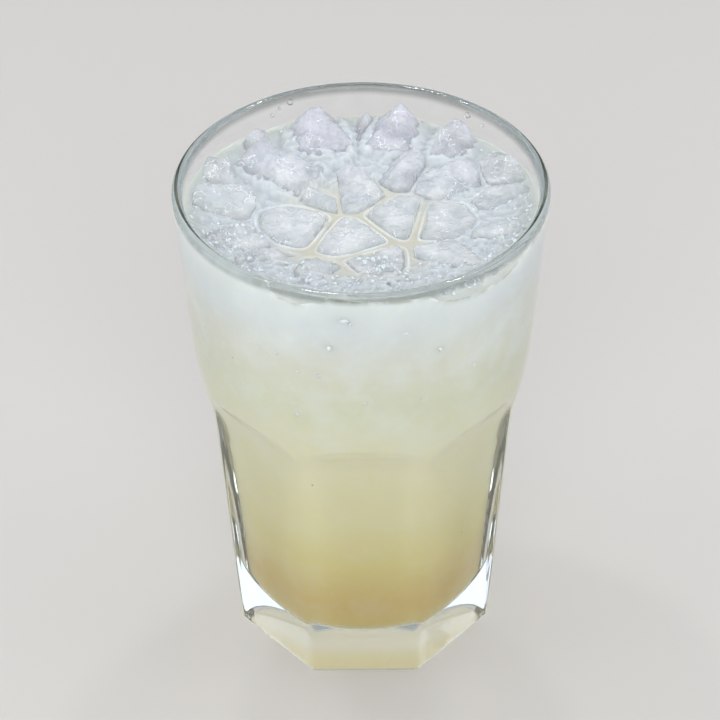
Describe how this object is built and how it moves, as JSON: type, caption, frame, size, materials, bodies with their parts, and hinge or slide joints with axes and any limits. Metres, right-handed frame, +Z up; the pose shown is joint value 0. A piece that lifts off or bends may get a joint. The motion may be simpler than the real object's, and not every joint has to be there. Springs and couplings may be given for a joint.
{
  "type": "glass of lemonade",
  "caption": "Tall pressed glass with a faceted lower body and an arched shoulder, full of cloudy pale yellow lemonade with crushed ice heaped at the top.",
  "frame": {"origin": "centre of the foot, on the surface that the glass stands on", "axes": "+Z up along the axis of the glass; one of its eight flat faces looks along -Y"},
  "size_m": [0.088, 0.088, 0.136],
  "materials": {
    "glass": "clear pressed glass, smooth and glossy",
    "lemonade": "cloudy pale yellow drink, wet",
    "ice": "frosty wet ice"
  },
  "bodies": {
    "root": {"glass": "glass", "lemonade": "lemonade", "ice_01": "ice", "ice_02": "ice", "ice_03": "ice", "ice_04": "ice", "ice_05": "ice", "ice_06": "ice", "ice_07": "ice", "ice_08": "ice", "ice_09": "ice", "ice_10": "ice", "ice_11": "ice", "ice_12": "ice", "ice_13": "ice", "ice_14": "ice", "ice_15": "ice", "ice_16": "ice", "ice_17": "ice", "ice_18": "ice", "ice_19": "ice", "ice_20": "ice", "ice_21": "ice", "ice_22": "ice", "ice_23": "ice", "ice_24": "ice", "ice_25": "ice"}
  },
  "joints": []
}
